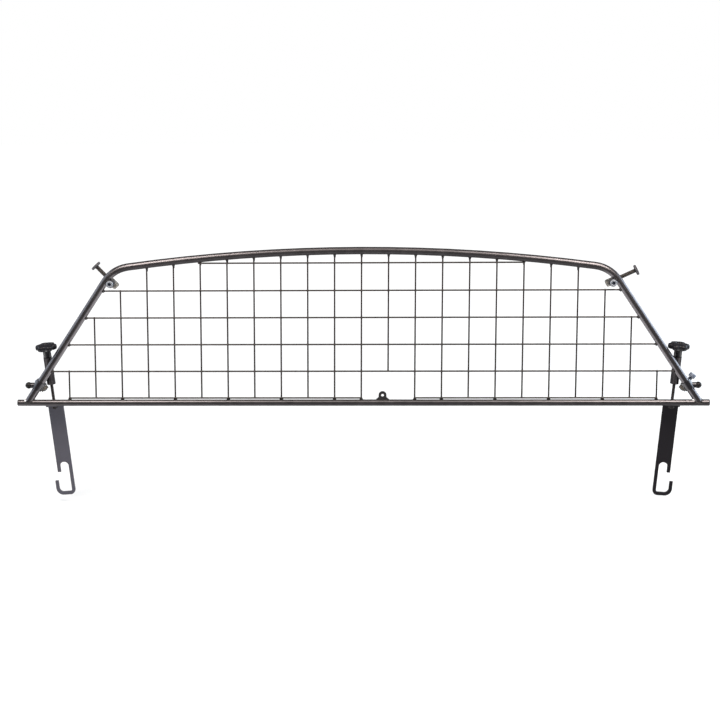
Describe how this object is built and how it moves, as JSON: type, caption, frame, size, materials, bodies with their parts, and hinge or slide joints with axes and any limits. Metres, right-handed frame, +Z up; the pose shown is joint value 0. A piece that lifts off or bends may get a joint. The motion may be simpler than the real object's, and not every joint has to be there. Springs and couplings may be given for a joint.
{
  "type": "car dog guard",
  "caption": "Welded tube and mesh barrier for a car's luggage area, with screw-tensioned lashing hooks, adjustable roof supports and clamped side buffers.",
  "frame": {"origin": "centre of the cross tube's axis", "axes": "+X along the cross tube to the right, +Y away from the viewer and towards the hooks' side, +Z up"},
  "size_m": [1.298, 0.0783, 0.4852],
  "materials": {
    "tube_paint": "hammered bronze-grey paint, semi-gloss",
    "wire_paint": "brown-grey paint, semi-gloss",
    "hook_paint": "dark grey satin coating",
    "black_plastic": "fine-grained black",
    "rubber": "smooth black",
    "zinc": "matt die-cast zinc",
    "zinc_steel": "bright zinc plating",
    "yellow_zinc": "yellow zinc plating",
    "steel": "plain zinc plating",
    "dark_steel": "blackened"
  },
  "bodies": {
    "guard_frame": {"cross_tube": "tube_paint", "arch_tube": "tube_paint", "mesh_uprights": "wire_paint", "mesh_rails": "wire_paint", "divider_lug": "tube_paint", "tube_plug_left": "black_plastic", "roof_lug_left": "tube_paint", "hook_sleeve_left": "tube_paint", "tube_plug_right": "black_plastic", "roof_lug_right": "tube_paint", "hook_sleeve_right": "tube_paint"},
    "knob_left": {"knob_left": "black_plastic", "knob_insert_left": "steel"},
    "rod_left": {"hook_rod_left": "dark_steel", "hook_nuts_left": "steel"},
    "hook_left": {"hook_plate_left": "hook_paint"},
    "block_left": {"swivel_block_left": "zinc", "pivot_screw_left": "zinc_steel"},
    "foot_left": {"roof_foot_left": "black_plastic"},
    "bolt_left": {"roof_bolt_left": "dark_steel"},
    "buffer_left": {"buffer_clamp_left": "black_plastic", "clamp_screw_left": "zinc_steel", "clamp_nut_left": "yellow_zinc", "buffer_stud_left": "steel", "buffer_tip_left": "rubber"},
    "knob_right": {"knob_right": "black_plastic", "knob_insert_right": "steel"},
    "rod_right": {"hook_rod_right": "dark_steel", "hook_nuts_right": "steel"},
    "hook_right": {"hook_plate_right": "hook_paint"},
    "block_right": {"swivel_block_right": "zinc", "pivot_screw_right": "zinc_steel"},
    "foot_right": {"roof_foot_right": "black_plastic"},
    "bolt_right": {"roof_bolt_right": "dark_steel"},
    "buffer_right": {"buffer_clamp_right": "black_plastic", "clamp_screw_right": "zinc_steel", "clamp_nut_right": "yellow_zinc", "buffer_stud_right": "steel", "buffer_tip_right": "rubber"}
  },
  "joints": [
    {"name": "knob_turn_left", "type": "hinge", "parent": "guard_frame", "child": "knob_left", "pos_m": [-0.59018, 0.01462, 0.06276], "axis": [-0.0708, -0.1392, 0.9877], "range_deg": [-4325, 3605]},
    {"name": "rod_slide_left", "type": "slide", "parent": "guard_frame", "child": "rod_left", "axis": [-0.0708, -0.1392, 0.9877], "range_m": [-0.01, 0.012]},
    {"name": "hook_swivel_left", "type": "hinge", "parent": "rod_left", "child": "hook_left", "pos_m": [-0.59018, 0.01462, 0.06276], "axis": [-0.0708, -0.1392, 0.9877], "range_deg": [-25, 25]},
    {"name": "roof_swivel_left", "type": "hinge", "parent": "guard_frame", "child": "block_left", "pos_m": [-0.46559, 0.01985, 0.22524], "axis": [0, 1, 0], "range_deg": [-30, 30]},
    {"name": "foot_slide_left", "type": "slide", "parent": "block_left", "child": "foot_left", "axis": [-0.6947, 0, 0.7193], "range_m": [-0.0026, 0.0101]},
    {"name": "bolt_spin_left", "type": "hinge", "parent": "foot_left", "child": "bolt_left", "pos_m": [-0.46559, 0.01985, 0.22524], "axis": [-0.6947, 0, 0.7193], "range_deg": [-720, 2880]},
    {"name": "clamp_slide_left", "type": "slide", "parent": "guard_frame", "child": "buffer_left", "axis": [0.5556, 0, 0.8315], "range_m": [-0.004, 0.002]},
    {"name": "knob_turn_right", "type": "hinge", "parent": "guard_frame", "child": "knob_right", "pos_m": [0.58781, 0.01508, 0.0627], "axis": [0.0708, -0.1392, 0.9877], "range_deg": [-4325, 3605]},
    {"name": "rod_slide_right", "type": "slide", "parent": "guard_frame", "child": "rod_right", "axis": [0.0708, -0.1392, 0.9877], "range_m": [-0.01, 0.012]},
    {"name": "hook_swivel_right", "type": "hinge", "parent": "rod_right", "child": "hook_right", "pos_m": [0.58781, 0.01508, 0.0627], "axis": [0.0708, -0.1392, 0.9877], "range_deg": [-25, 25]},
    {"name": "roof_swivel_right", "type": "hinge", "parent": "guard_frame", "child": "block_right", "pos_m": [0.46559, 0.01985, 0.22524], "axis": [0, 1, 0], "range_deg": [-30, 30]},
    {"name": "foot_slide_right", "type": "slide", "parent": "block_right", "child": "foot_right", "axis": [0.9092, 0, 0.4163], "range_m": [-0.0076, 0.0051]},
    {"name": "bolt_spin_right", "type": "hinge", "parent": "foot_right", "child": "bolt_right", "pos_m": [0.46559, 0.01985, 0.22524], "axis": [0.9092, 0, 0.4163], "range_deg": [-2160, 1440]},
    {"name": "clamp_slide_right", "type": "slide", "parent": "guard_frame", "child": "buffer_right", "axis": [-0.5556, 0, 0.8315], "range_m": [-0.004, 0.003]}
  ],
  "couplings": [
    {"joint": "knob_turn_left", "follows": "rod_slide_left", "rad_per_m": -6283.2},
    {"joint": "foot_slide_left", "follows": "bolt_spin_left", "m_per_rad": 0.00019894},
    {"joint": "knob_turn_right", "follows": "rod_slide_right", "rad_per_m": -6283.2},
    {"joint": "foot_slide_right", "follows": "bolt_spin_right", "m_per_rad": 0.00019894}
  ]
}
